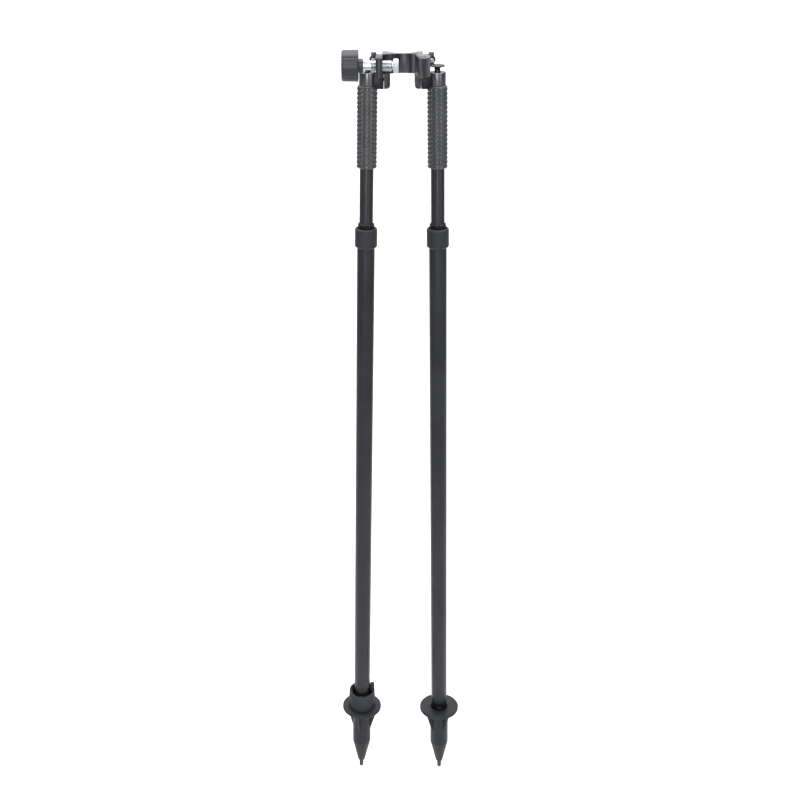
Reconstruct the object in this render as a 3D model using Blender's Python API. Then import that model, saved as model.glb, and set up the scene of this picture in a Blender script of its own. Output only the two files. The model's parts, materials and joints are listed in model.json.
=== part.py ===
"""Thumb-release survey pole bipod: an open clamp head carrying two telescopic legs.

Frame: origin where the clamp screw's axis meets the axis of the pole it grips, +Z up the pole,
+X to the right, -Y towards the user, who feeds the pole in from that side. The legs hang closed.
"""

from math import cos, pi, radians, sin

import bpy
from mathutils import Matrix, Vector

MM = 0.001
GAP = 0.35                       # running and seating gap, mm
SIDES = {"l": -1, "r": 1}

# Clamp head, an extruded shape, mm
HEAD_HALF_HEIGHT = 13.5
SEAT_Y = 19.0                    # front face of the web behind the pole
WEB_BACK_Y = 25.0
EAR_TIP = (27.0, 42.0)
ARM_FRONT_Y = -24.0
JAW_INNER = (17.5, 21.4)         # inner face of the fixed jaw, at the web and at its front end
JAW_OUTER_X = 38.4
SCREW_ARM_X = (28.6, 37.6)       # thickness of the arm that the screw runs through
SIDE_LUG_X = 45.0
SIDE_LUG_Y = (45.0, 51.0)

# Clamp screw, along X, mm
THREAD_R = 7.8
THREAD_X = (-44.4, -14.6)
RELIEF_R = 7.0
NOSE_R = 5.0
STUB_END = -77.2
NOSE_END = -8.2
TIP_R = 10.2
TIP_X = (-13.4, -5.6)
KNOB_X = (-85.2, -62.0)
KNOB_R = 22.0
KNOB_HUB_R = 9.75
WASHER_X = (-55.2, -52.2)

# Hinges, mm
SPREAD_AXIS = (42.0, 0.0)        # x and z of the axis along Y
SPREAD_BOLT_R = 2.5
YOKE_PLATE_Y = (51.4, 56.0)
YOKE_LUG_X = (17.6, 26.4)
LEG_Y = 34.0
SWING_Z = -25.0
SWING_PIN_R = 3.0
BRACKET_R = 10.5
BRACKET_X = (26.85, 41.0)
BRACKET_BOTTOM = -12.0           # below the swing axis

# Leg, measured along its own axis from the swing axis, mm
LEG_X = 50.0
LEG_TILT = radians(0.87)
FERRULE = (-8.5, 10.5)
FERRULE_R = 12.0
GRIP = (-129.0, -8.85)
GRIP_R = 14.2
UPPER_TUBE = (-975.0, -2.5)
UPPER_R = (8.0, 10.0)
LOWER_R = (11.0, 13.2)
LOWER_TOP = -236.0
LOWER_BOTTOM = {"l": -1037.0, "r": -1067.0}
BUTTON_Z = (18.0, 21.0)
BUTTON_R = 11.0
ROD_R = 3.0
ROD_BOTTOM = -979.0
WEDGE_Z = (-1004.0, -979.4)
COLLET_Z = (-998.0, -975.4)
COLLAR_Z = (-251.0, -221.0)
COLLAR_R = 16.6
RING_Z = (-219.6, -214.0)
RING_R = 12.3
FLANGE_TOP = -1080.0
FLANGE_R = 32.75
FLANGE_THICK = 5.5
SOCKET_R = 13.75
SOCKET_DEPTH = 14.0
SPIKE_R = 15.25
GUSSET_R = 27.5                  # reach of a gusset under the flange
GUSSET_HEIGHT = 42.0
GUSSET_TURN = {"l": -15.4, "r": 35.0}
PLUG_R = 12.9
CONE_Z = (-1195.0, -1153.0)
PIN_R = 3.6
PIN_TIP = -1210.0
FOOT_LIFT = {"l": 2.2, "r": 0.0}  # the left leg is set this much shorter
CLIP_TOP = -1047.7
CLIP_FRONT_DROP = 6.0            # the lip dips towards the front
CLIP_R = (18.2, 21.2, 23.1)      # bore, outside at the mouth, outside at the foot
TAB_TOP = -1034.8
TAB_INNER_X = 14.2
TAB_HALF_WIDTH = 2.5


def clear_scene():
    for item in list(bpy.data.objects):
        bpy.data.objects.remove(item, do_unlink=True)


def make_material(name, color, roughness, metallic=0.0):
    material = bpy.data.materials.new(name)
    material.use_nodes = True
    shader = material.node_tree.nodes["Principled BSDF"]
    shader.inputs["Base Color"].default_value = (*color, 1.0)
    shader.inputs["Roughness"].default_value = roughness
    shader.inputs["Metallic"].default_value = metallic
    material.diffuse_color = (*color, 1.0)
    return material


def make_materials():
    return {
        "anodised_black": make_material("anodised_black", (0.045, 0.047, 0.052), 0.42, 0.6),
        "anodised_grey": make_material("anodised_grey", (0.30, 0.31, 0.33), 0.35, 0.9),
        "zinc": make_material("zinc", (0.72, 0.73, 0.75), 0.25, 1.0),
        "steel": make_material("steel", (0.45, 0.45, 0.47), 0.35, 1.0),
        "rubber": make_material("rubber", (0.06, 0.062, 0.066), 0.7),
        "nylon_black": make_material("nylon_black", (0.04, 0.042, 0.046), 0.5),
        "nylon_white": make_material("nylon_white", (0.8, 0.8, 0.79), 0.45),
        "acetal": make_material("acetal", (0.65, 0.64, 0.6), 0.5),
    }


def add_object(name, verts, faces, material, parent=None):
    """Make one closed mesh object from points in mm, its normals turned outwards."""
    mesh = bpy.data.meshes.new(name)
    mesh.from_pydata([Vector(v) * MM for v in verts], [], faces)
    mesh.validate()
    mesh.shade_smooth()
    mesh.set_sharp_from_angle(angle=radians(35))
    mesh.materials.append(material)
    item = bpy.data.objects.new(name, mesh)
    bpy.context.scene.collection.objects.link(item)
    item.parent = parent
    return item


def add_empty(name, place, rotation=(0.0, 0.0, 0.0), parent=None):
    """Mark a joint axis or a leg's own frame; place is in mm."""
    empty = bpy.data.objects.new(name, None)
    empty.empty_display_size = 0.01
    empty.location = Vector(place) * MM
    empty.rotation_euler = rotation
    empty.parent = parent
    bpy.context.scene.collection.objects.link(empty)
    return empty


def arc(center, radius, start, end, steps):
    """Points on an arc, angles in degrees."""
    points = []
    for step in range(steps + 1):
        angle = radians(start + (end - start) * step / steps)
        points.append((center[0] + radius * cos(angle), center[1] + radius * sin(angle)))
    return points


def turned(name, profile, material, parent=None, segments=24, closed=False, matrix=None):
    """Turn (radius, height) points about Z. The profile runs bottom to top up the outside.

    A closed profile makes a ring. An open one starts and ends on the axis.
    """
    rings = []
    verts = []
    for radius, height in profile:
        if radius == 0.0:
            rings.append([len(verts)])
            verts.append((0.0, 0.0, height))
            continue
        rings.append(list(range(len(verts), len(verts) + segments)))
        for step in range(segments):
            angle = 2 * pi * step / segments
            verts.append((radius * cos(angle), radius * sin(angle), height))
    pairs = list(zip(rings, rings[1:]))
    if closed:
        pairs.append((rings[-1], rings[0]))
    faces = []
    for low, high in pairs:
        for step in range(segments):
            after = (step + 1) % segments
            face = [low[step % len(low)], low[after % len(low)], high[after % len(high)],
                    high[step % len(high)]]
            faces.append([v for index, v in enumerate(face) if v not in face[:index]])
    if matrix is not None:
        verts = [matrix @ Vector(v) for v in verts]
    return add_object(name, verts, faces, material, parent)


def ring(name, inner, outer, low, high, material, parent=None, bevel=0.0, **options):
    """A plain tube, with its two outer edges bevelled when asked."""
    profile = [(outer - bevel, low), (outer, low + bevel), (outer, high - bevel), (outer - bevel, high)]
    if bevel == 0.0:
        profile = [(outer, low), (outer, high)]
    profile += [(inner, high), (inner, low)]
    return turned(name, profile, material, parent, closed=True, **options)


def extruded(name, outline, low, high, material, parent=None, matrix=None):
    """Extrude a counter-clockwise outline along Z from low to high."""
    count = len(outline)
    verts = [(x, y, low) for x, y in outline] + [(x, y, high) for x, y in outline]
    faces = [list(reversed(range(count))), list(range(count, 2 * count))]
    for index in range(count):
        after = (index + 1) % count
        faces.append([index, after, after + count, index + count])
    if matrix is not None:
        verts = [matrix @ Vector(v) for v in verts]
    return add_object(name, verts, faces, material, parent)


def drill(radius, start, end):
    """Profile of a plain round cutter."""
    return [(0.0, start), (radius, start), (radius, end), (0.0, end)]


def box(name, low, high, material, parent=None):
    outline = [(low[0], low[1]), (high[0], low[1]), (high[0], high[1]), (low[0], high[1])]
    return extruded(name, outline, low[2], high[2], material, parent)


def combine(target, tool, operation):
    """Join a tool to the target or cut it away, and keep the tool as a hidden guide."""
    modifier = target.modifiers.new(operation.lower() + "_" + tool.name, "BOOLEAN")
    modifier.operation = operation
    modifier.object = tool
    modifier.solver = "EXACT"
    tool.hide_render = True
    tool.display_type = "WIRE"


def mirrored(outline, side):
    """Mirror a counter-clockwise outline across X = 0 for the left side, kept counter-clockwise."""
    if side > 0:
        return outline
    return [(-x, y) for x, y in reversed(outline)]


def between(first, second, side):
    """Sort an x range that has been mirrored to one side."""
    return sorted((side * first, side * second))


TURN_TO_X = Matrix.Rotation(radians(90), 4, "Y")
TURN_TO_Y = Matrix.Rotation(radians(-90), 4, "X")


def head_outline():
    """Web with a shallow pole seat, two splayed rear ears, the screw arm and the fixed jaw."""
    seat = arc((0.0, SEAT_Y - 40.0), 40.0, 69.0, 111.0, 8)
    rear = [(-17.0, 33.0), (-8.5, 26.0), (0.0, WEB_BACK_Y), (8.5, 26.0), (17.0, 33.0)]
    jaw = [(JAW_INNER[1], ARM_FRONT_Y + 5.0), (23.5, ARM_FRONT_Y), (27.5, ARM_FRONT_Y - 1.5),
           (31.0, ARM_FRONT_Y + 1.0), (JAW_OUTER_X, -10.0), (JAW_OUTER_X, 4.0), (28.6, 20.0)]
    right_ear = [(28.6, 40.0), EAR_TIP, (23.0, 42.0)]
    left_ear = [(-23.0, 42.0), (-EAR_TIP[0], EAR_TIP[1]), (-28.6, 40.0)]
    screw_arm = [(-28.6, 22.0), (-SCREW_ARM_X[1], 8.0)]
    screw_arm += arc((-33.1, ARM_FRONT_Y + 4.5), 4.5, 180.0, 360.0, 8)
    screw_arm += [(-SCREW_ARM_X[0], 8.0), (-24.0, 14.0), (-17.0, 14.5)]
    return jaw + right_ear + rear[::-1] + left_ear + screw_arm + seat[::-1] + [(JAW_INNER[0], 14.0)]


def make_head(materials):
    black = materials["anodised_black"]
    head = extruded("head_body", head_outline(), -HEAD_HALF_HEIGHT, HEAD_HALF_HEIGHT, black)
    for side_name, side in SIDES.items():
        lug_front, lug_back = SIDE_LUG_Y
        outline = mirrored([(21.0, 39.0), (34.0, lug_front), (SIDE_LUG_X, lug_front), (SIDE_LUG_X, lug_back),
                            (21.0, lug_back)], side)
        combine(head, extruded("guide_side_lug_" + side_name, outline, -9.0, 8.0, black), "UNION")
        low_x, high_x = between(37.5, SIDE_LUG_X - 0.01, side)
        end_block = box("guide_end_block_" + side_name, (low_x, lug_front - 0.9, -8.5),
                        (high_x, lug_back - 0.01, 11.0), black)
        combine(head, end_block, "UNION")
        hole = drill(SPREAD_BOLT_R + GAP, 38.0, 53.0)
        place = Matrix.Translation((side * SPREAD_AXIS[0], 0, SPREAD_AXIS[1])) @ TURN_TO_Y
        bolt_hole = turned("guide_bolt_hole_" + side_name, hole, black, segments=16, matrix=place)
        combine(head, bolt_hole, "DIFFERENCE")
    screw_hole = turned("guide_screw_hole", drill(THREAD_R + GAP, -45.0, -20.0), black, matrix=TURN_TO_X)
    combine(head, screw_hole, "DIFFERENCE")
    slot = extruded("guide_jaw_slot", [(24.5, -9.0), (31.5, -9.0), (32.5, -5.0), (23.8, -5.0)],
                    -HEAD_HALF_HEIGHT - 1.0, HEAD_HALF_HEIGHT + 1.0, black)
    combine(head, slot, "DIFFERENCE")


def make_clamp(materials):
    """Knob, screw, washer and the nylon tip that presses on the pole, all about the X axis."""
    axis = add_empty("clamp_axis", (0.0, 0.0, 0.0))
    hub_end, washer_end = WASHER_X
    washer_start = hub_end + 0.5
    tip_back, tip_front = TIP_X
    screw = [(0.0, STUB_END), (NOSE_R, STUB_END), (NOSE_R, washer_start), (RELIEF_R, washer_start),
             (RELIEF_R, THREAD_X[0] - 0.8), (THREAD_R, THREAD_X[0]), (THREAD_R, THREAD_X[1]),
             (RELIEF_R, tip_back - GAP), (NOSE_R, tip_back - GAP), (NOSE_R, NOSE_END - 0.6),
             (NOSE_R - 0.8, NOSE_END), (0.0, NOSE_END)]
    turned("clamp_screw", screw, materials["zinc"], axis, matrix=TURN_TO_X)
    knob_out, knob_in = KNOB_X
    knob = [(20.4, knob_out), (KNOB_R - 0.4, knob_out + 1.2), (KNOB_R, knob_in - 0.8), (KNOB_R - 0.8, knob_in),
            (KNOB_HUB_R, knob_in), (KNOB_HUB_R, hub_end - GAP), (NOSE_R + GAP, hub_end - GAP),
            (NOSE_R + GAP, STUB_END - 0.4), (0.0, STUB_END - 0.4), (0.0, knob_out)]
    turned("clamp_knob", knob, materials["nylon_black"], axis, segments=32, closed=True, matrix=TURN_TO_X)
    ring("screw_washer", RELIEF_R + GAP, 9.9, washer_start, washer_end, materials["zinc"], axis, bevel=0.4,
         matrix=TURN_TO_X)
    tip = [(NOSE_R + GAP, tip_back), (TIP_R - 0.6, tip_back), (TIP_R, tip_back + 1.6), (TIP_R, tip_front - 1.6),
           (TIP_R - 0.8, tip_front), (0.0, tip_front), (0.0, NOSE_END + 0.6), (NOSE_R + GAP, NOSE_END + 0.6)]
    turned("pressure_tip", tip, materials["nylon_white"], axis, closed=True, matrix=TURN_TO_X)


def make_yoke(side_name, side, materials):
    """Rear plate on the spread bolt, with an inner lug that hangs below the head."""
    black = materials["anodised_black"]
    pivot = add_empty("spread_pivot_" + side_name, (side * SPREAD_AXIS[0], LEG_Y, SPREAD_AXIS[1]))
    frame = Matrix.Translation((-side * SPREAD_AXIS[0], -LEG_Y, -SPREAD_AXIS[1]))
    inner, outer = YOKE_LUG_X
    lug = [(inner, -14.4), (inner, -32.0)]
    lug += arc((inner + 5.0, -32.0), 5.0, 180.0, 270.0, 5)[1:]
    lug += [(outer, -37.0), (outer, -14.4)]
    along_y = Matrix(((1, 0, 0, 0), (0, 0, -1, 0), (0, 1, 0, 0), (0, 0, 0, 1)))
    yoke = extruded("hinge_yoke_" + side_name, mirrored(lug, side), -YOKE_PLATE_Y[1], -24.0, black, pivot,
                    matrix=frame @ along_y)
    plate = [(inner + 1.0, -20.0), (outer - 0.5, -20.0), (outer + 4.0, -11.0), (43.0, -6.0)]
    plate += arc(SPREAD_AXIS, 5.5, -60.0, 90.0, 7)
    plate += [(26.0, 4.5), (inner + 1.0, -8.0)]
    plate_solid = extruded("guide_yoke_plate_" + side_name, mirrored(plate, side), -YOKE_PLATE_Y[1] + 0.02,
                           -YOKE_PLATE_Y[0], black, pivot, matrix=frame @ along_y)
    combine(yoke, plate_solid, "UNION")
    place = Matrix.Translation((0, -LEG_Y, 0)) @ TURN_TO_Y
    bolt_hole = turned("guide_yoke_hole_" + side_name, drill(SPREAD_BOLT_R + GAP, 48.0, 60.0), black, pivot,
                       segments=16, matrix=place)
    combine(yoke, bolt_hole, "DIFFERENCE")
    low_x, high_x = between(10.0, 30.0, side)
    place = Matrix.Translation((-side * SPREAD_AXIS[0], 0, SWING_Z - SPREAD_AXIS[1])) @ TURN_TO_X
    pin_hole = turned("guide_lug_hole_" + side_name, drill(SWING_PIN_R + GAP, low_x, high_x), black, pivot,
                      segments=16, matrix=place)
    combine(yoke, pin_hole, "DIFFERENCE")


def make_hinge_hardware(side_name, side, materials):
    """Socket-head bolt and nut along Y, and the plain pin along X."""
    center = add_empty("spread_bolt_axis_" + side_name, (side * SPREAD_AXIS[0], 0.0, SPREAD_AXIS[1]))
    bolt = [(SPREAD_BOLT_R, 43.7), (SPREAD_BOLT_R, 60.6), (0.0, 60.6), (0.0, 42.2), (1.5, 42.2), (1.5, 40.2),
            (3.0, 40.2), (3.4, 40.6), (3.4, 43.7)]
    turned("spread_bolt_" + side_name, bolt, materials["zinc"], center, segments=16, closed=True,
           matrix=TURN_TO_Y)
    plate_back = YOKE_PLATE_Y[1]
    ring("spread_nut_" + side_name, SPREAD_BOLT_R + 0.9, 4.6, plate_back + GAP, plate_back + 4.3,
         materials["zinc"], center, segments=6, matrix=TURN_TO_Y)
    pin_axis = add_empty("swing_pin_axis_" + side_name, (0.0, LEG_Y, SWING_Z),
                         (0.0, 0.0, 0.0 if side > 0 else pi))
    start = YOKE_LUG_X[0] + 0.2
    pin = [(0.0, start), (SWING_PIN_R - 0.5, start), (SWING_PIN_R, start + 0.5), (SWING_PIN_R, 36.6),
           (SWING_PIN_R - 0.5, 37.1), (0.0, 37.1)]
    turned("swing_pin_" + side_name, pin, materials["steel"], pin_axis, segments=16, matrix=TURN_TO_X)


def make_leg_top(side_name, side, leg, materials):
    """Hinge bracket, ferrule, grip and upper tube, in the leg's own frame."""
    inner = BRACKET_X[0] - LEG_X
    outer = BRACKET_X[1] - LEG_X
    outline = [(BRACKET_R, BRACKET_BOTTOM)] + arc((0.0, 0.0), BRACKET_R, 0.0, 180.0, 16)
    outline.append((-BRACKET_R, BRACKET_BOTTOM))
    along_x = Matrix(((0, 0, 1, 0), (1, 0, 0, 0), (0, 1, 0, 0), (0, 0, 0, 1)))
    low_x, high_x = between(inner, outer, side)
    bracket = extruded("leg_bracket_" + side_name, outline, low_x, high_x, materials["anodised_black"], leg,
                       matrix=along_x)
    low, high = FERRULE
    socket = turned("guide_bracket_socket_" + side_name,
                    [(0.0, -20.0), (GRIP_R + GAP, -20.0), (GRIP_R + GAP, low), (FERRULE_R + GAP, low),
                     (FERRULE_R + GAP, 20.0), (0.0, 20.0)],
                    materials["anodised_black"], leg, segments=32)
    combine(bracket, socket, "DIFFERENCE")
    pin_hole = turned("guide_pin_hole_" + side_name, drill(SWING_PIN_R + 2 * GAP, -30.0, 30.0),
                      materials["anodised_black"], leg, segments=16, matrix=TURN_TO_X)
    combine(bracket, pin_hole, "DIFFERENCE")
    bore = UPPER_R[1] + GAP
    over_tube = UPPER_TUBE[1] + GAP
    ferrule = [(FERRULE_R, low), (FERRULE_R, high - 1.0), (FERRULE_R - 1.0, high), (5.0, high),
               (5.0, high - 5.0), (7.6, high - 5.0), (7.6, over_tube), (bore, over_tube), (bore, low)]
    turned("ferrule_" + side_name, ferrule, materials["anodised_grey"], leg, closed=True)
    ring("grip_" + side_name, bore, GRIP_R, *GRIP, materials["rubber"], leg, bevel=1.2, segments=28)
    ring("upper_tube_" + side_name, *UPPER_R, *UPPER_TUBE, materials["anodised_black"], leg)


def coil(name, radius, wire, low, high, turns, material, parent):
    """A compression spring: a round wire swept along a helix, capped at both ends."""
    steps = turns * 10
    sides = 5
    verts = []
    for step in range(steps + 1):
        angle = 2 * pi * turns * step / steps
        height = low + wire + (high - low - 2 * wire) * step / steps
        for side in range(sides):
            turn = 2 * pi * side / sides
            reach = radius + wire * cos(turn)
            verts.append((reach * cos(angle), reach * sin(angle), height + wire * sin(turn)))
    faces = [list(range(sides)), list(reversed(range(steps * sides, (steps + 1) * sides)))]
    for step in range(steps):
        for side in range(sides):
            base, after = step * sides + side, step * sides + (side + 1) % sides
            faces.append([base, base + sides, after + sides, after])
    return add_object(name, verts, faces, material, parent)


def make_release(side_name, leg, materials):
    """Thumb button, rod, return spring with its seat, wedge and expanding collet."""
    low, high = BUTTON_Z
    button = [(ROD_R + GAP, 5.0), (4.5, 5.0), (4.5, 10.0), (3.8, 14.5), (4.4, 17.0), (BUTTON_R - 0.8, low),
              (BUTTON_R, low + 0.8), (BUTTON_R - 0.9, high - 1.2), (0.0, high), (0.0, 14.0),
              (ROD_R + GAP, 14.0)]
    turned("release_button_" + side_name, button, materials["nylon_black"], leg, closed=True)
    rod = [(0.0, ROD_BOTTOM), (ROD_R, ROD_BOTTOM), (ROD_R, -8.0), (6.5, -8.0), (6.5, -5.0), (ROD_R, -5.0),
           (ROD_R, 13.6), (0.0, 13.6)]
    turned("release_rod_" + side_name, rod, materials["steel"], leg, segments=12)
    coil("release_spring_" + side_name, 5.5, 0.7, -29.6, -8.4, 5, materials["steel"], leg)
    ring("spring_seat_" + side_name, ROD_R + 0.6, UPPER_R[0] - GAP, -33.0, -30.0, materials["acetal"], leg,
         segments=16)
    low, high = WEDGE_Z
    turned("wedge_cone_" + side_name, [(0.0, low), (7.9, low), (4.0, high), (0.0, high)], materials["steel"],
           leg, segments=16)
    low, high = COLLET_Z
    outside = LOWER_R[0] - 0.4
    collet = turned("brake_collet_" + side_name,
                    [(outside, low), (outside, high), (5.0, high), (5.0, high - 2.0), (7.6, low)],
                    materials["acetal"], leg, closed=True)
    for name, half in (("across", (0.6, 15.0)), ("along", (15.0, 0.6))):
        slit = box("guide_collet_slit_" + name + "_" + side_name, (-half[0], -half[1], low - 1.0),
                   (half[0], half[1], high - 6.0), materials["acetal"], leg)
        combine(collet, slit, "DIFFERENCE")


def make_leg_bottom(side_name, leg, materials):
    """Guide ring, collar and the sliding lower tube, with the plug that carries the foot."""
    ring_low, ring_high = RING_Z
    bore = UPPER_R[1] + GAP
    inside = LOWER_R[0] - GAP
    spigot = LOWER_TOP - 8.0
    seat = LOWER_TOP + GAP
    guide = [(inside, spigot), (inside, seat), (RING_R - 0.1, seat), (RING_R - 0.1, ring_low),
             (RING_R, ring_low),
             (RING_R, ring_high - 0.8), (RING_R - 0.8, ring_high), (bore, ring_high), (bore, spigot)]
    turned("guide_ring_" + side_name, guide, materials["nylon_black"], leg, closed=True)
    ring("collar_nut_" + side_name, LOWER_R[1] + GAP, COLLAR_R, *COLLAR_Z, materials["nylon_black"], leg,
         bevel=1.5, segments=28)
    bottom = LOWER_BOTTOM[side_name]
    ring("lower_tube_" + side_name, *LOWER_R, bottom, LOWER_TOP, materials["anodised_black"], leg)
    plug_bottom = FLANGE_TOP - SOCKET_DEPTH + GAP + FOOT_LIFT[side_name]
    plug = [(0.0, plug_bottom), (PLUG_R, plug_bottom), (PLUG_R, bottom - GAP), (inside, bottom - GAP),
            (inside, bottom + 22.0), (9.6, bottom + 24.0), (0.0, bottom + 24.0)]
    turned("foot_plug_" + side_name, plug, materials["nylon_black"], leg)


def make_foot(side_name, foot_axis, materials):
    """Step flange with a socket for the plug, four gussets, the spike body and its steel point."""
    nylon = materials["nylon_black"]
    top = FLANGE_TOP
    under = top - FLANGE_THICK
    low, high = CONE_Z
    body = [(PIN_R + GAP, low), (5.6, low), (SPIKE_R, high), (SPIKE_R, under), (FLANGE_R, under),
            (FLANGE_R, top - 0.6), (FLANGE_R - 0.6, top), (SOCKET_R, top), (SOCKET_R, top - SOCKET_DEPTH),
            (0.0, top - SOCKET_DEPTH), (0.0, low + 22.0), (PIN_R + GAP, low + 22.0)]
    foot = turned("foot_spike_" + side_name, body, nylon, foot_axis, closed=True)
    gusset = [(13.9, under - GUSSET_HEIGHT), (SPIKE_R - 0.1, under - GUSSET_HEIGHT), (GUSSET_R, under - 0.1),
              (GUSSET_R, under + 1.0), (13.9, under + 1.0)]
    upright = Matrix(((1, 0, 0, 0), (0, 0, -1, 0), (0, 1, 0, 0), (0, 0, 0, 1)))
    for index in range(4):
        turn = Matrix.Rotation(radians(GUSSET_TURN[side_name] + 90 * index), 4, "Z")
        web = extruded("guide_gusset_%s_%d" % (side_name, index), gusset, -1.5, 1.5, nylon, foot_axis,
                       matrix=turn @ upright)
        combine(foot, web, "UNION")
    pin = [(0.0, PIN_TIP), (1.8, PIN_TIP + 0.5), (3.1, PIN_TIP + 2.0), (PIN_R, PIN_TIP + 4.0),
           (PIN_R, low + 21.6),
           (0.0, low + 21.6)]
    turned("spike_pin_" + side_name, pin, materials["steel"], foot_axis, segments=16)


def make_transport_clip(foot_axis, materials):
    """Cup on the left foot's flange, its lip dipping at the front, with an upright tab and a soft liner."""
    low = FLANGE_TOP + GAP
    bore, mouth, base = CLIP_R
    liner_top = CLIP_TOP - 3.2
    cup = turned("clip_cup", [(base, low), (mouth, CLIP_TOP - 0.8), (mouth - 0.8, CLIP_TOP), (bore, CLIP_TOP),
                              (bore, low + 3.0), (SOCKET_R, low + 3.0), (SOCKET_R, low)],
                 materials["rubber"], foot_axis, segments=28, closed=True)
    along_x = Matrix(((0, 0, 1, 0), (1, 0, 0, 0), (0, 1, 0, 0), (0, 0, 0, 1)))
    dip = [(-base - 2.0, CLIP_TOP - CLIP_FRONT_DROP), (0.0, CLIP_TOP + 0.01), (-base - 2.0, CLIP_TOP + 4.0)]
    dip_solid = extruded("guide_clip_dip", dip, -base - 2.0, base + 2.0, materials["rubber"], foot_axis,
                         matrix=along_x)
    combine(cup, dip_solid, "DIFFERENCE")
    upright = Matrix(((1, 0, 0, 0), (0, 0, -1, 0), (0, 1, 0, 0), (0, 0, 0, 1)))
    tab = [(bore + 0.2, CLIP_TOP - 9.0), (mouth - 0.3, CLIP_TOP - 9.0), (mouth - 0.3, TAB_TOP),
           (TAB_INNER_X, TAB_TOP), (TAB_INNER_X, liner_top + GAP), (bore + 0.2, liner_top + GAP)]
    tab_solid = extruded("guide_clip_tab", tab, -TAB_HALF_WIDTH, TAB_HALF_WIDTH, materials["rubber"], foot_axis,
                         matrix=upright)
    combine(cup, tab_solid, "UNION")
    ring("clip_liner", 15.6, bore - GAP, low + 3.0 + GAP, liner_top, materials["nylon_black"], foot_axis,
         bevel=0.8, segments=28)


def main():
    clear_scene()
    materials = make_materials()
    make_head(materials)
    make_clamp(materials)
    for side_name, side in SIDES.items():
        make_yoke(side_name, side, materials)
        make_hinge_hardware(side_name, side, materials)
        swing_axis = (side * LEG_X, LEG_Y, SWING_Z)
        leg = add_empty("leg_axis_" + side_name, swing_axis, (0.0, -side * LEG_TILT, 0.0))
        make_leg_top(side_name, side, leg, materials)
        make_release(side_name, leg, materials)
        make_leg_bottom(side_name, leg, materials)
        foot_axis = add_empty("foot_axis_" + side_name, (0.0, 0.0, FOOT_LIFT[side_name]), parent=leg)
        make_foot(side_name, foot_axis, materials)
        if side_name == "l":
            make_transport_clip(foot_axis, materials)


main()
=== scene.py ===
"""Looks of the survey pole bipod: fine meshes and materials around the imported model."""

import json
from math import cos, degrees, pi, radians, sin, tan

import bmesh
import bpy
import numpy as np
from mathutils import Matrix, Vector


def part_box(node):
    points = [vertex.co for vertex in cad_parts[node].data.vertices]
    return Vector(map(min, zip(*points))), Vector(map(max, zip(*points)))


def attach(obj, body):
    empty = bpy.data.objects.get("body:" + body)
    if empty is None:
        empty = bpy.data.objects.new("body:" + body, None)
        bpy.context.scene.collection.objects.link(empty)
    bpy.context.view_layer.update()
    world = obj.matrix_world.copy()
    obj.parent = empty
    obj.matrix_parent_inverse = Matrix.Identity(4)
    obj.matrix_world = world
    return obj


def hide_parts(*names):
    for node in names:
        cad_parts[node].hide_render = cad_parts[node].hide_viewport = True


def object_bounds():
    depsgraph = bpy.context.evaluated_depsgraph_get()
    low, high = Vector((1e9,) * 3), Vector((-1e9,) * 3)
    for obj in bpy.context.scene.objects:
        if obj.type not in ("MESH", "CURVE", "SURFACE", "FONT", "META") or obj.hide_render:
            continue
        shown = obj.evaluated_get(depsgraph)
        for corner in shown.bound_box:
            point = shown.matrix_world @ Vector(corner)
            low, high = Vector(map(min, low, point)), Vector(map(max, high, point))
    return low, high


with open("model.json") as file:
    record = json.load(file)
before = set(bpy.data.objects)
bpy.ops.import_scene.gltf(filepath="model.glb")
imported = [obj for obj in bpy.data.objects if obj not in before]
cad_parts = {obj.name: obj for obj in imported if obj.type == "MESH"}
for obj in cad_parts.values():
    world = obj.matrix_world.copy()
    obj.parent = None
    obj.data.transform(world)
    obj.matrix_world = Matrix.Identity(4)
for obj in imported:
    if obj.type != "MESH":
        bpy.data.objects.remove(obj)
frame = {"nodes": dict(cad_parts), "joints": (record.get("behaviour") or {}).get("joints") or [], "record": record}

CAD_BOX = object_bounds()
MM = 0.001
SIDES = {"l": -1, "r": 1}
LEG_TILT = radians(0.87)
JOINTS = {joint["name"]: joint for joint in frame["joints"]}
ROUND = 96                       # segments of a visible turned piece
GUSSET_TURN = {"l": -15.4, "r": 35.0}
FOOT_LIFT = {"l": 2.2, "r": 0.0}  # the left leg is set this much shorter, mm

# Camera: straight across at the legs' height, tilted down, as far away as the view shows, metres
CAMERA_PLACE = (-0.0163, -1.797, 0.3085)
CAMERA_TILT = 20.7
CAMERA_LENS = 57.7
CAMERA_SHIFT = (0.0112, -0.1075)

TURN_TO_X = Matrix.Rotation(radians(90), 4, "Y")
TURN_TO_Y = Matrix.Rotation(radians(-90), 4, "X")


def leg_frame(side):
    """The leg's own frame: origin on the swing axis, Z up along the leg."""
    place = JOINTS["swing_r" if side > 0 else "swing_l"]["pos_m"]
    return Matrix.Translation(place) @ Matrix.Rotation(-side * LEG_TILT, 4, "Y")


# ---------------------------------------------------------------- mesh helpers

def add_piece(name, verts, faces, material, body, matrix=None, crease=32.0):
    """Make a piece from points in mm, placed by a matrix in metres, riding on a body."""
    points = np.asarray(verts, dtype=float) * MM
    mesh = bpy.data.meshes.new(name)
    mesh.from_pydata(points.tolist(), [], faces)
    if matrix is not None:
        mesh.transform(matrix)
    mesh.validate()
    mesh.shade_smooth()
    mesh.set_sharp_from_angle(angle=radians(crease))
    mesh.materials.append(material)
    piece = bpy.data.objects.new(name, mesh)
    bpy.context.scene.collection.objects.link(piece)
    if body:
        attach(piece, body)
    return piece


def grid_faces(rows, columns, closed_rows=False):
    """Quads over rows x columns points, the columns wrapping round."""
    faces = []
    last = rows if closed_rows else rows - 1
    for row in range(last):
        above = (row + 1) % rows
        for column in range(columns):
            after = (column + 1) % columns
            faces.append((row * columns + column, row * columns + after,
                          above * columns + after, above * columns + column))
    return faces


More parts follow.
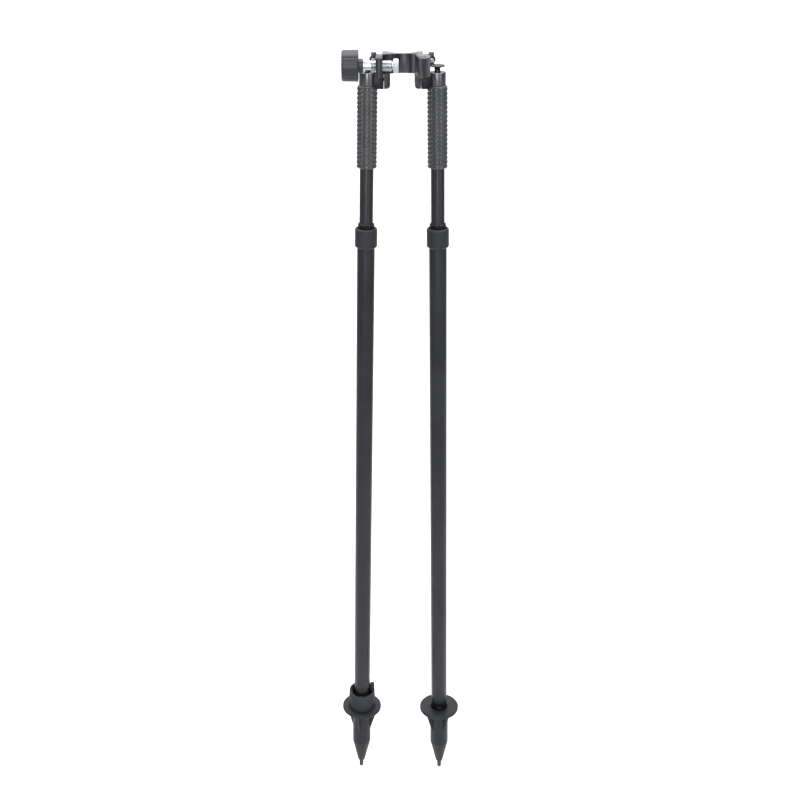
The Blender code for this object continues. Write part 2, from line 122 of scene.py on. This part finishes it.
def turned(name, profile, material, body, matrix=None, closed=True, segments=ROUND, relief=None, crease=32.0):
    """Turn (radius, height) points about Z. relief(angle, radius, height) gives the final radius.

    The profile runs bottom to top up the outside; an open one is capped on the axis.
    """
    verts = []
    for radius, height in profile:
        for step in range(segments):
            angle = 2 * pi * step / segments
            reach = relief(angle, radius, height) if relief else radius
            verts.append((reach * cos(angle), reach * sin(angle), height))
    faces = grid_faces(len(profile), segments, closed)
    if not closed:
        first, last = len(verts), len(verts) + 1
        verts += [(0.0, 0.0, profile[0][1]), (0.0, 0.0, profile[-1][1])]
        base = (len(profile) - 1) * segments
        for step in range(segments):
            after = (step + 1) % segments
            faces.append((first, after, step))
            faces.append((last, base + step, base + after))
    return add_piece(name, verts, faces, material, body, matrix, crease)


def rounded(profile, radius, steps=4):
    """Round every corner of a closed (r, z) profile that has room for the radius."""
    points = []
    count = len(profile)
    for index in range(count):
        before = Vector(profile[index - 1])
        here = Vector(profile[index])
        after = Vector(profile[(index + 1) % count])
        back, ahead = before - here, after - here
        reach = min(radius, back.length * 0.45, ahead.length * 0.45)
        start, end = here + back.normalized() * reach, here + ahead.normalized() * reach
        for step in range(steps + 1):
            t = step / steps
            point = start * (1 - t) ** 2 + here * 2 * t * (1 - t) + end * t ** 2
            points.append((point.x, point.y))
    return points


def dense(profile, spacing):
    """Split the long stretches of a profile so that relief has points to move."""
    points = []
    for (r0, z0), (r1, z1) in zip(profile, profile[1:] + profile[:1]):
        steps = max(1, int(((r1 - r0) ** 2 + (z1 - z0) ** 2) ** 0.5 / spacing))
        for step in range(steps):
            points.append((r0 + (r1 - r0) * step / steps, z0 + (z1 - z0) * step / steps))
    return points


def carve(piece, tools, operation):
    """Join or cut with other meshes, then keep only the finished mesh."""
    for tool in tools:
        modifier = piece.modifiers.new("boolean", "BOOLEAN")
        modifier.operation = operation
        modifier.object = tool
        modifier.solver = "EXACT"
    bake(piece)
    for tool in tools:
        bpy.data.objects.remove(tool, do_unlink=True)


def bake(piece, crease=32.0):
    """Replace the mesh by what its modifiers make of it."""
    bpy.context.view_layer.update()
    graph = bpy.context.evaluated_depsgraph_get()
    mesh = bpy.data.meshes.new_from_object(piece.evaluated_get(graph))
    piece.modifiers.clear()
    piece.data = mesh
    mesh.shade_smooth()
    mesh.set_sharp_from_angle(angle=radians(crease))


def softened(node, body, width, material, slot):
    """A copy of a CAD node's shape with its edges broken, in place of the node."""
    mesh = frame["nodes"][node].data.copy()
    work = bmesh.new()
    work.from_mesh(mesh)
    bmesh.ops.remove_doubles(work, verts=work.verts, dist=1e-6)
    bmesh.ops.dissolve_limit(work, angle_limit=radians(2.0), verts=work.verts, edges=work.edges)
    work.to_mesh(mesh)
    work.free()
    mesh.materials.clear()
    mesh.materials.append(material)
    piece = bpy.data.objects.new(node + "_fine", mesh)
    bpy.context.scene.collection.objects.link(piece)
    bevel = piece.modifiers.new("bevel", "BEVEL")
    bevel.width = width * MM
    bevel.segments = 3
    bevel.limit_method = "ANGLE"
    bevel.angle_limit = radians(35)
    bake(piece, 40.0)
    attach(piece, body)
    stand_for(piece, slot, node)
    return piece


def stand_for(piece, slot, *nodes):
    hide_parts(*nodes)


# ---------------------------------------------------------------- materials

class Nodes:
    """Short calls for building one material's node tree."""

    def __init__(self, name):
        self.material = bpy.data.materials.new(name)
        self.material.use_nodes = True
        self.tree = self.material.node_tree
        self.shader = self.tree.nodes["Principled BSDF"]
        self.place = self.add("ShaderNodeTexCoord").outputs["Object"]

    def add(self, kind, **values):
        node = self.tree.nodes.new(kind)
        for key, value in values.items():
            if hasattr(node, key):
                setattr(node, key, value)
            else:
                node.inputs[key].default_value = value
        return node

    def link(self, source, target):
        self.tree.links.new(source, target)

    def noise(self, scale, detail=4.0, stretch=(1, 1, 1), roughness=0.55):
        mapping = self.add("ShaderNodeMapping")
        mapping.inputs["Scale"].default_value = stretch
        self.link(self.place, mapping.inputs["Vector"])
        noise = self.add("ShaderNodeTexNoise", Scale=scale, Detail=detail, Roughness=roughness)
        self.link(mapping.outputs["Vector"], noise.inputs["Vector"])
        return noise.outputs["Fac"]

    def ramp(self, source, stops):
        ramp = self.add("ShaderNodeValToRGB")
        elements = ramp.color_ramp.elements
        while len(elements) < len(stops):
            elements.new(0.5)
        for element, (position, color) in zip(elements, stops):
            element.position = position
            element.color = (*color, 1.0)
        self.link(source, ramp.inputs["Fac"])
        return ramp.outputs["Color"]

    def spread(self, source, low, high):
        """Map a noise, which lies mostly between 0.3 and 0.7, to low..high."""
        node = self.add("ShaderNodeMapRange")
        for key, value in (("From Min", 0.3), ("From Max", 0.7), ("To Min", low), ("To Max", high)):
            node.inputs[key].default_value = value
        self.link(source, node.inputs["Value"])
        return node.outputs["Result"]

    def bump(self, source, distance, strength=1.0, before=None):
        node = self.add("ShaderNodeBump", Distance=distance, Strength=strength)
        self.link(source, node.inputs["Height"])
        if before is not None:
            self.link(before, node.inputs["Normal"])
        return node.outputs["Normal"]

    def edge_wear_and_hollow_shade(self, low, high):
        """Pointiness mask: white on convex edges for wear; with low above high, white in the hollows instead, for
        painted shade.
        """
        geometry = self.add("ShaderNodeNewGeometry")
        node = self.add("ShaderNodeMapRange")
        for key, value in (("From Min", low), ("From Max", high)):
            node.inputs[key].default_value = value
        self.link(geometry.outputs["Pointiness"], node.inputs["Value"])
        return node.outputs["Result"]

    def mix(self, factor, first, second):
        node = self.add("ShaderNodeMix", data_type="RGBA")
        self.link(factor, node.inputs["Factor"])
        for key, value in (("A", first), ("B", second)):
            sockets = [s for s in node.inputs if s.name == key and s.type == "RGBA"]
            if isinstance(value, tuple):
                sockets[0].default_value = (*value, 1.0)
            else:
                self.link(value, sockets[0])
        return [s for s in node.outputs if s.type == "RGBA"][0]


def anodised(name, dark, light, roughness, metallic, worn, specular=0.5):
    """Anodised aluminium: drawn lines along the length, uneven dye, rubbed edges."""
    n = Nodes(name)
    lines = n.noise(900.0, 3.0, (1.0, 1.0, 0.012))
    cloud = n.noise(14.0, 5.0)
    color = n.ramp(cloud, [(0.3, dark), (0.7, light)])
    color = n.mix(n.edge_wear_and_hollow_shade(0.53, 0.62), color, worn)
    n.link(color, n.shader.inputs["Base Color"])
    n.shader.inputs["Metallic"].default_value = metallic
    n.shader.inputs["Specular IOR Level"].default_value = specular
    n.link(n.spread(lines, roughness - 0.05, roughness + 0.07), n.shader.inputs["Roughness"])
    grain = n.noise(2600.0, 2.0)
    n.link(n.bump(grain, 0.00002, 0.35, n.bump(lines, 0.00002, 0.25)), n.shader.inputs["Normal"])
    return n.material


def moulded(name, dark, light, roughness, grain_scale=1500.0, grain_depth=0.00005, specular=0.25, hollow_shade_factor=0.5):
    """Moulded plastic or rubber: fine spark-eroded grain, flow marks, painted shade in the hollows, paler rubbed edges.
    """
    n = Nodes(name)
    cloud = n.noise(35.0, 5.0)
    color = n.ramp(cloud, [(0.3, dark), (0.7, light)])
    paler = tuple(min(1.0, 1.5 * channel + 0.01) for channel in light)
    # Painted shade: concave spots take the dark colour scaled down by the last factor, so the hollows look shaded.
    painted_hollow_shade = tuple(hollow_shade_factor * channel for channel in dark)
    color = n.mix(n.edge_wear_and_hollow_shade(0.5, 0.42), color, painted_hollow_shade)
    color = n.mix(n.edge_wear_and_hollow_shade(0.54, 0.64), color, paler)
    n.link(color, n.shader.inputs["Base Color"])
    grain = n.noise(grain_scale, 3.0)
    n.link(n.spread(cloud, roughness - 0.05, roughness + 0.06), n.shader.inputs["Roughness"])
    n.shader.inputs["Specular IOR Level"].default_value = specular
    n.link(n.bump(grain, grain_depth, 0.5), n.shader.inputs["Normal"])
    return n.material


def bright_metal(name, dark, light, roughness, stretch):
    """Plated or turned metal with fine tool marks and slight cloudiness."""
    n = Nodes(name)
    marks = n.noise(1800.0, 2.0, stretch)
    cloud = n.noise(120.0, 4.0)
    n.link(n.ramp(cloud, [(0.3, dark), (0.7, light)]), n.shader.inputs["Base Color"])
    n.shader.inputs["Metallic"].default_value = 1.0
    n.link(n.spread(marks, roughness - 0.04, roughness + 0.08), n.shader.inputs["Roughness"])
    n.link(n.bump(marks, 0.00002, 0.3), n.shader.inputs["Normal"])
    return n.material


def translucent_nylon(name):
    """Natural nylon: off-white, faintly cloudy, light passing a little way in."""
    n = Nodes(name)
    cloud = n.noise(90.0, 4.0)
    n.link(n.ramp(cloud, [(0.3, (0.38, 0.39, 0.40)), (0.7, (0.44, 0.445, 0.45))]), n.shader.inputs["Base Color"])
    n.link(n.spread(n.noise(1400.0), 0.32, 0.45), n.shader.inputs["Roughness"])
    n.shader.inputs["Subsurface Weight"].default_value = 0.25
    n.shader.inputs["Subsurface Radius"].default_value = (0.002, 0.002, 0.002)
    n.link(n.bump(n.noise(900.0), 0.00003, 0.3), n.shader.inputs["Normal"])
    return n.material


def make_materials():
    return {
        "anodised_black": anodised("anodised_black", (0.016, 0.0175, 0.021), (0.024, 0.026, 0.031), 0.32, 0.0,
                                   (0.05, 0.05, 0.054), 0.24),
        # Darker copy of anodised_black for the head: painted shade over the whole head body.
        "shaded_head_black": anodised("shaded_head_black", (0.007, 0.008, 0.010), (0.012, 0.0135, 0.016), 0.3, 0.0,
                               (0.08, 0.08, 0.085), 0.22),
        # Darker copy of anodised_black for the yokes and leg brackets: painted shade on their flat faces.
        "shaded_yoke_black": anodised("shaded_yoke_black", (0.004, 0.005, 0.006), (0.008, 0.009, 0.011), 0.34, 0.0,
                               (0.06, 0.06, 0.065), 0.14),
        "anodised_grey": anodised("anodised_grey", (0.13, 0.135, 0.14), (0.17, 0.175, 0.18), 0.3, 0.9,
                                  (0.3, 0.3, 0.31)),
        "zinc": bright_metal("zinc", (0.40, 0.41, 0.43), (0.50, 0.51, 0.53), 0.26, (0.05, 1, 1)),
        "steel": bright_metal("steel", (0.05, 0.051, 0.054), (0.075, 0.076, 0.08), 0.35, (1, 1, 0.05)),
        # Rubber: the last argument darkens the grip's hollows strongly, as painted shade between the pads.
        "rubber": moulded("rubber", (0.038, 0.040, 0.045), (0.052, 0.054, 0.060), 0.3, 1800.0, 0.00001, 0.6, 0.1),
        "cup_rubber": moulded("cup_rubber", (0.020, 0.022, 0.026), (0.034, 0.036, 0.041), 0.6, 700.0, 0.00015),
        "nylon_black": moulded("nylon_black", (0.020, 0.0215, 0.025), (0.028, 0.030, 0.034), 0.42),
        # Darker copy of nylon_black for the feet: painted shade against the extra light the floor throws on them.
        "shaded_foot_black": moulded("shaded_foot_black", (0.008, 0.0095, 0.012), (0.014, 0.0155, 0.019), 0.45),
        "gloss_black": moulded("gloss_black", (0.004, 0.0045, 0.005), (0.007, 0.0075, 0.009), 0.22, 900.0, 0.00001),
        "nylon_white": translucent_nylon("nylon_white"),
        "acetal": moulded("acetal", (0.60, 0.59, 0.55), (0.68, 0.67, 0.63), 0.45),
    }


def dress_cad_nodes(materials):
    """Give every carried-over node the finish of its slot."""
    slots = {entry["node"]: entry["material_slot"] for entry in frame["record"]["subparts"]}
    for node, item in frame["nodes"].items():
        item.data.materials.clear()
        item.data.materials.append(materials[slots[node]])


# ---------------------------------------------------------------- clamp

def make_knob(materials):
    """Knob with shallow flutes round its rim and a flat outer face with a moulded recess."""
    low, high = (value / MM for value in (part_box("clamp_knob")[0][0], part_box("clamp_knob")[1][0]))
    inner = -62.0
    profile = [(0.6, low + 1.2), (12.5, low + 1.2), (13.5, low), (20.4, low), (21.6, low + 1.2), (22.0, inner - 0.8),
               (21.2, inner), (9.75, inner), (9.75, high), (5.5, high), (5.5, -77.6), (0.6, -77.6)]
    profile = dense(rounded(profile, 0.7, 3), 2.4)

    def flutes(angle, radius, height):
        if radius < 19.0 or height > inner:
            return radius
        wave = abs(sin(angle * 7.0))
        return radius - 0.6 * (1.0 - wave) ** 2 * min(1.0, (radius - 19.0) / 2.0)

    knob = turned("clamp_knob_fine", profile, materials["nylon_black"], "clamp_screw", TURN_TO_X, segments=240,
                  relief=flutes)
    stand_for(knob, "nylon_black", "clamp_knob")


def make_screw(materials):
    """Clamp screw with a real helical thread, its ends chamfered, and the washer behind the hub."""
    pitch, crest, root = 2.0, 7.95, 6.85
    start, end = -44.6, -14.5
    rows = int((end - start) / 0.2)
    columns = 64
    verts = []
    for row in range(rows + 1):
        along = start + (end - start) * row / rows
        ease = min(1.0, (along - start) / 1.4, (end - along) / 1.4)
        for column in range(columns):
            angle = 2 * pi * column / columns
            phase = (along / pitch - column / columns) % 1.0
            tooth = min(1.0, max(0.0, 1.35 - abs(phase - 0.5) * 3.2))
            reach = root + (crest - root) * tooth * ease
            verts.append((reach * cos(angle), reach * sin(angle), along))
    faces = grid_faces(rows + 1, columns)
    for center, base, order in ((start, 0, -1), (end, rows * columns, 1)):
        hub = len(verts)
        verts.append((0.0, 0.0, center))
        for column in range(columns):
            pair = (base + column, base + (column + 1) % columns)
            faces.append((hub,) + pair[::order])
    thread = add_piece("clamp_screw_thread", verts, faces, materials["zinc"], "clamp_screw", TURN_TO_X, 60.0)
    shank = turned("clamp_screw_shank", [(4.9, -76.4), (4.9, -54.9), (7.0, -54.8), (7.0, start + 0.3)],
                   materials["zinc"], "clamp_screw", TURN_TO_X, closed=False, segments=64)
    nose = turned("clamp_screw_nose", [(5.0, end - 0.2), (5.0, -9.0), (4.3, -8.3)], materials["zinc"], "clamp_screw",
                  TURN_TO_X, closed=False, segments=48)
    for piece in (thread, shank, nose):
        stand_for(piece, "zinc", "clamp_screw")
    washer = turned("screw_washer_fine", rounded([(7.2, -55.2), (9.9, -55.2), (9.9, -52.2), (7.2, -52.2)], 0.5),
                    materials["zinc"], "clamp_screw", TURN_TO_X)
    stand_for(washer, "zinc", "screw_washer")


def make_pressure_tip(materials):
    """White nylon button, slightly barrelled, with a turned recess in its face."""
    low, high = (value / MM for value in (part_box("pressure_tip")[0][0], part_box("pressure_tip")[1][0]))
    profile = [(5.35, low), (9.3, low), (10.1, low + 2.2), (10.2, (low + high) / 2), (10.1, high - 2.2), (9.2, high),
               (6.2, high), (5.8, high - 0.5), (0.5, high - 0.5), (0.5, -7.6), (5.35, -7.6)]
    tip = turned("pressure_tip_fine", rounded(profile, 0.6), materials["nylon_white"], "clamp_tip", TURN_TO_X)
    stand_for(tip, "nylon_white", "pressure_tip")


# ---------------------------------------------------------------- legs

def grip_relief(turn):
    """Final radius of the grip: nine columns of raised pads with sloping sides, in mm."""
    columns, pitch, base, crest = 9, 6.67, 13.6, 14.8

    def relief(angle, radius, height):
        if radius < 13.0 or not -127.6 < height < -10.2:
            return radius
        column = (angle - turn) / (2 * pi) * columns
        across = abs(column - round(column)) * 2 * pi * 14.2 / columns
        along = abs(((height + 10.2) / pitch) % 1.0 - 0.5) * pitch
        slope = min((3.6 - across) / 2.0, (3.1 - along) / 1.5)
        return base + (crest - base) * min(1.0, max(0.0, slope))

    return relief


def make_grip(side_name, side, leg, materials):
    """Moulded rubber grip with plain end bands."""
    turn = radians({"l": -90.0, "r": -100.0}[side_name])
    low, high = -129.0, -8.9
    profile = [(10.4, low), (13.3, low), (14.2, low + 0.9)]
    steps = 290
    profile += [(14.2, low + 1.4 + (high - low - 2.7) * step / steps) for step in range(steps + 1)]
    profile += [(14.2, high - 0.8), (13.3, high), (10.4, high)]
    grip = turned("grip_%s_fine" % side_name, profile, materials["rubber"], "leg_" + side_name, leg, segments=216,
                  relief=grip_relief(turn), crease=60.0)
    stand_for(grip, "rubber", "grip_" + side_name)


def make_tubes(side_name, leg, materials):
    """Upper and lower tubes, their ends broken by a small chamfer."""
    upper = turned("upper_tube_%s_fine" % side_name,
                   rounded([(8.0, -975.0), (10.0, -975.0), (10.0, -2.5), (8.0, -2.5)], 0.3, 2),
                   materials["anodised_black"], "leg_" + side_name, leg)
    stand_for(upper, "anodised_black", "upper_tube_" + side_name)
    bottom = {"l": -1037.0, "r": -1067.0}[side_name]
    lower = turned("lower_tube_%s_fine" % side_name,
                   rounded([(11.0, bottom), (13.2, bottom), (13.2, -236.0), (11.0, -236.0)], 0.4, 3),
                   materials["anodised_black"], "lower_leg_" + side_name, leg)
    stand_for(lower, "anodised_black", "lower_tube_" + side_name)


def make_collar(side_name, leg, materials):
    """Collar with fine vertical ribs between plain chamfers, and the glossy guide ring above it."""
    profile = [(13.6, -251.0), (14.8, -251.0), (16.6, -249.0), (16.6, -223.0), (14.8, -221.0), (13.6, -221.0)]
    profile = dense(rounded(profile, 0.5, 3), 1.6)

    def ribs(angle, radius, height):
        if radius < 16.4 or not -248.2 < height < -223.8:
            return radius
        return radius - 0.16 * (0.5 - 0.5 * cos(angle * 72))

    collar = turned("collar_nut_%s_fine" % side_name, profile, materials["nylon_black"], "lower_leg_" + side_name,
                    leg, segments=432, relief=ribs, crease=50.0)
    stand_for(collar, "nylon_black", "collar_nut_" + side_name)
    profile = [(10.35, -244.0), (10.65, -244.0), (10.65, -235.6), (12.2, -235.6), (12.2, -219.6), (12.3, -219.5),
               (12.3, -217.4), (11.9, -217.0), (12.3, -216.6), (12.3, -214.8), (11.4, -214.0), (10.35, -214.0)]
    guide = turned("guide_ring_%s_fine" % side_name, rounded(profile, 0.3, 3), materials["gloss_black"],
                   "lower_leg_" + side_name, leg)
    stand_for(guide, "nylon_black", "guide_ring_" + side_name)


def make_button(side_name, leg, materials):
    """Mushroom thumb button with a dished top, on its flared neck."""
    profile = [(3.4, 5.0), (4.5, 5.0), (4.5, 9.0), (4.1, 12.5), (4.0, 14.5), (4.6, 16.6), (6.6, 17.6), (10.0, 18.2),
               (11.0, 18.9), (10.8, 19.7), (9.4, 20.5), (6.0, 20.9), (2.0, 20.6), (0.4, 20.6), (0.4, 14.2), (3.4, 14.0)]
    button = turned("release_button_%s_fine" % side_name, rounded(profile, 0.5, 3), materials["gloss_black"],
                    "button_" + side_name, leg)
    stand_for(button, "nylon_black", "release_button_" + side_name)
    profile = [(12.0, -8.5), (12.0, 9.6), (11.2, 10.5), (6.2, 10.5), (5.0, 9.6), (5.0, 5.5), (7.6, 5.5), (7.6, -2.1),
               (10.35, -2.1), (10.35, -8.5)]
    ferrule = turned("ferrule_%s_fine" % side_name, rounded(profile, 0.35, 3), materials["anodised_grey"],
                     "leg_" + side_name, leg)
    stand_for(ferrule, "anodised_grey", "ferrule_" + side_name)


def prism(name, outline, low, high, matrix):
    """A plain extrusion used as a cutting or joining tool, outline counter-clockwise, mm."""
    count = len(outline)
    verts = [(x, y, low) for x, y in outline] + [(x, y, high) for x, y in outline]
    faces = [tuple(reversed(range(count))), tuple(range(count, 2 * count))]
    for index in range(count):
        after = (index + 1) % count
        faces.append((index, after, after + count, index + count))
    return add_piece(name, verts, faces, None, None, matrix)


def make_foot(side_name, foot_axis, materials, turn):
    """Step flange with its four gussets, the spike body and cone, and the steel point."""
    top, under = -1080.0, -1085.5
    upright = Matrix(((1, 0, 0, 0), (0, 0, -1, 0), (0, 1, 0, 0), (0, 0, 0, 1)))
    profile = [(3.95, -1195.0), (5.4, -1195.0), (6.0, -1193.5), (15.25, -1153.0), (15.25, under - 2.5),
               (16.6, under - 0.6), (18.0, under), (32.2, under), (32.75, under + 0.8), (32.75, top - 0.8),
               (32.1, top), (14.6, top), (13.75, top - 0.9), (13.75, top - 14.0), (0.5, top - 14.0), (0.5, -1173.0),
               (3.95, -1173.0)]
    foot = turned("foot_spike_%s_fine" % side_name, rounded(profile, 0.5, 3), materials["shaded_foot_black"],
                  "lower_leg_" + side_name, foot_axis, segments=128)
    gusset = [(13.9, under - 42.4), (15.1, under - 42.2), (16.6, under - 36.5), (27.3, under - 0.6),
              (27.6, under + 0.8), (13.9, under + 0.8)]
    webs = []
    for index in range(4):
        web_turn = Matrix.Rotation(turn + radians(90 * index), 4, "Z")
        web = prism("web", gusset, -1.5, 1.5, foot_axis @ web_turn @ upright)
        bevel = web.modifiers.new("bevel", "BEVEL")
        bevel.width = 0.35 * MM
        bevel.segments = 2
        bevel.limit_method = "ANGLE"
        bake(web)
        webs.append(web)
    carve(foot, webs, "UNION")
    stand_for(foot, "nylon_black", "foot_spike_" + side_name)
    pin = turned("spike_pin_%s_fine" % side_name, [(0.6, -1210.0), (1.7, -1209.6), (2.8, -1208.6), (3.4, -1207.0),
                                                   (3.6, -1205.0), (3.6, -1173.6)],
                 materials["steel"], "lower_leg_" + side_name, foot_axis, closed=False, segments=48)
    stand_for(pin, "steel", "spike_pin_" + side_name)


def make_plug(side_name, leg, materials):
    """Black plug between the lower tube and the foot, with one groove above the flange."""
    bottom = {"l": -1037.4, "r": -1067.4}[side_name]
    low = {"l": -1091.2, "r": -1093.4}[side_name]
    profile = [(12.4, low), (12.9, low + 0.8), (12.9, low + 16.6), (12.3, low + 17.2), (12.3, low + 19.2),
               (12.9, low + 19.8), (12.9, bottom), (10.6, bottom), (10.6, bottom + 22.0), (9.6, bottom + 24.0)]
    plug = turned("foot_plug_%s_fine" % side_name, profile, materials["gloss_black"], "lower_leg_" + side_name, leg,
                  closed=False)
    stand_for(plug, "nylon_black", "foot_plug_" + side_name)


def make_clip(foot_axis, materials):
    """Tapered cup whose lip dips towards the front, its flat upright tab, and the liner inside."""
    low, mouth, tab_top = -1079.65, -1047.7, -1034.8
    profile = [(13.75, low), (23.0, low), (23.0, low + 2.0), (21.5, mouth - 3.4), (21.5, mouth - 1.8),
               (21.2, mouth - 0.5), (20.3, mouth), (19.0, mouth), (18.2, mouth - 0.6), (18.2, low + 3.0),
               (13.75, low + 3.0)]
    profile = dense(rounded(profile, 0.5, 3), 1.6)
    cup = turned("clip_cup_fine", profile, materials["cup_rubber"], "lower_leg_l", foot_axis)
    cup.data.transform(foot_axis.inverted())
    for vertex in cup.data.vertices:
        share = (vertex.co.z / MM - low - 16.0) / (mouth - low - 16.0)
        vertex.co.z += 6.0 / 25.1 * min(0.0, vertex.co.y) * max(0.0, share)
    cup.data.transform(foot_axis)
    upright = Matrix(((1, 0, 0, 0), (0, 0, -1, 0), (0, 1, 0, 0), (0, 0, 0, 1)))
    outline = [(18.4, mouth - 9.0), (20.9, mouth - 9.0), (20.9, tab_top), (14.2, tab_top), (14.2, mouth - 2.8),
               (18.4, mouth - 2.8)]
    tab = prism("tab", outline, -2.5, 2.5, foot_axis @ upright)
    bevel = tab.modifiers.new("bevel", "BEVEL")
    bevel.width = 0.6 * MM
    bevel.segments = 3
    bevel.limit_method = "ANGLE"
    bake(tab)
    carve(cup, [tab], "UNION")
    stand_for(cup, "rubber", "clip_cup")
    profile = [(15.6, -1076.3), (17.8, -1076.3), (17.8, -1051.4), (17.3, -1050.95), (15.6, -1052.2)]
    liner = turned("clip_liner_fine", rounded(profile, 0.4, 3), materials["gloss_black"], "lower_leg_l", foot_axis)
    stand_for(liner, "nylon_black", "clip_liner")


# ---------------------------------------------------------------- stage

def make_floor():
    """Pale floor, below the reach of the drawn-out legs, that curves up into a backdrop."""
    n = Nodes("floor")
    cloud = n.noise(3.0, 4.0)
    n.link(n.ramp(cloud, [(0.3, (0.91, 0.91, 0.91)), (0.7, (0.94, 0.94, 0.94))]), n.shader.inputs["Base Color"])
    n.shader.inputs["Roughness"].default_value = 0.9
    lowest = CAD_BOX[0][2] - 0.7
    half, back, bend = 6.0, 3.5, 1.5
    line = [(-half, lowest)]
    line += [(back + bend * sin(radians(a)), lowest + bend * (1 - cos(radians(a)))) for a in range(0, 91, 6)]
    line.append((back + bend, 6.0))
    verts = [(x, y, z) for y, z in line for x in (-half, half)]
    faces = [(2 * i, 2 * i + 1, 2 * i + 3, 2 * i + 2) for i in range(len(line) - 1)]
    mesh = bpy.data.meshes.new("floor")
    mesh.from_pydata(verts, [], faces)
    mesh.shade_smooth()
    mesh.materials.append(n.material)
    floor = bpy.data.objects.new("floor", mesh)
    bpy.context.scene.collection.objects.link(floor)


def add_light(name, place, target, size, power):
    light = bpy.data.lights.new(name, "AREA")
    light.shape = "RECTANGLE"
    light.size, light.size_y = size
    light.energy = power
    item = bpy.data.objects.new(name, light)
    item.location = place
    item.rotation_euler = (Vector(target) - Vector(place)).to_track_quat("-Z", "Y").to_euler()
    bpy.context.scene.collection.objects.link(item)


def make_lights():
    world = bpy.data.worlds.new("studio")
    bpy.context.scene.world = world
    world.use_nodes = True
    background = world.node_tree.nodes["Background"]
    background.inputs["Color"].default_value = (1.0, 1.0, 1.0, 1.0)
    background.inputs["Strength"].default_value = 0.2
    middle = (0.0, 0.0, -0.4)
    add_light("front", (-0.25, -2.6, 0.7), middle, (0.35, 2.4), 66.0)
    add_light("side", (1.5, -1.8, 0.5), middle, (0.3, 2.2), 16.0)
    add_light("top", (0.0, 1.2, 2.6), (0.0, 1.2, -1.2), (4.0, 4.0), 320.0)


def make_camera():
    data = bpy.data.cameras.new("camera")
    data.sensor_width = 36.0
    data.lens = CAMERA_LENS
    data.shift_x, data.shift_y = CAMERA_SHIFT
    camera = bpy.data.objects.new("camera", data)
    camera.location = CAMERA_PLACE
    camera.rotation_euler = (radians(90.0 - CAMERA_TILT), 0.0, 0.0)
    bpy.context.scene.collection.objects.link(camera)
    bpy.context.scene.camera = camera


def main():
    bpy.context.scene.view_settings.view_transform = "Standard"
    materials = make_materials()
    make_camera()
    make_lights()
    make_floor()
    dress_cad_nodes(materials)
    softened("head_body", "head", 0.8, materials["shaded_head_black"], "anodised_black")
    make_knob(materials)
    make_screw(materials)
    make_pressure_tip(materials)
    for side_name, side in SIDES.items():
        leg = leg_frame(side)
        softened("hinge_yoke_" + side_name, "yoke_" + side_name, 0.6, materials["shaded_yoke_black"], "anodised_black")
        softened("leg_bracket_" + side_name, "leg_" + side_name, 0.6, materials["shaded_yoke_black"], "anodised_black")
        softened("spread_bolt_" + side_name, "head", 0.25, materials["zinc"], "zinc")
        softened("spread_nut_" + side_name, "head", 0.25, materials["zinc"], "zinc")
        make_grip(side_name, side, leg, materials)
        make_tubes(side_name, leg, materials)
        make_collar(side_name, leg, materials)
        make_button(side_name, leg, materials)
        make_plug(side_name, leg, materials)
        foot_axis = leg @ Matrix.Translation((0.0, 0.0, FOOT_LIFT[side_name] * MM))
        make_foot(side_name, foot_axis, materials, radians(GUSSET_TURN[side_name]))
        if side_name == "l":
            make_clip(foot_axis, materials)


main()
